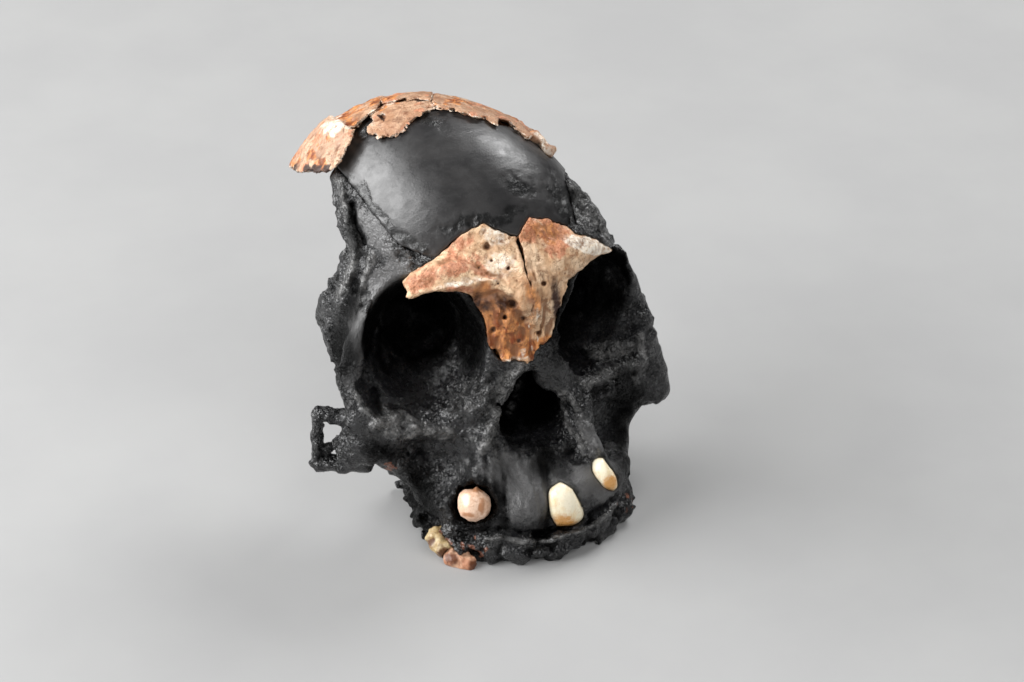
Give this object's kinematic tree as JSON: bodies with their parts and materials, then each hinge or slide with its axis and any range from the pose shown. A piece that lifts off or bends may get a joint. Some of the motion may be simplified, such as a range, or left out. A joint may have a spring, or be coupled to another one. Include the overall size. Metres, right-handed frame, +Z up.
{
  "type": "fossil skull",
  "caption": "Partial fossil skull of a young hominin: pale bone and teeth set in a black reconstruction of the face and vault, open at the back.",
  "frame": {"origin": "middle of the object's box in X and Y, on the plane that the upper jaw stands on", "axes": "+Z up, -Y the way the face looks, +X towards the skull's own left side"},
  "size_m": [0.096, 0.094, 0.1009],
  "materials": {
    "black_cast": "rough grainy semi-gloss",
    "black_smooth": "smooth satin",
    "bone_ivory": "matte, pitted",
    "bone_brown": "matte, pitted",
    "bone_pink": "matte, layered edges",
    "bone_orange": "matte, stained",
    "enamel": "smooth, low gloss"
  },
  "bodies": {
    "root": {"face_reconstruction": "black_cast", "vault_fill": "black_smooth", "frontal_right": "bone_ivory", "frontal_left": "bone_brown", "vault_far_left": "bone_pink", "vault_upper_left": "bone_orange", "vault_centre": "bone_orange", "vault_top": "bone_orange", "vault_right": "bone_orange", "vault_right_end": "bone_pink", "canine_right": "enamel", "incisor_left": "enamel", "canine_left": "enamel", "cheek_tooth_front": "enamel", "cheek_tooth_rear": "enamel"}
  },
  "joints": []
}
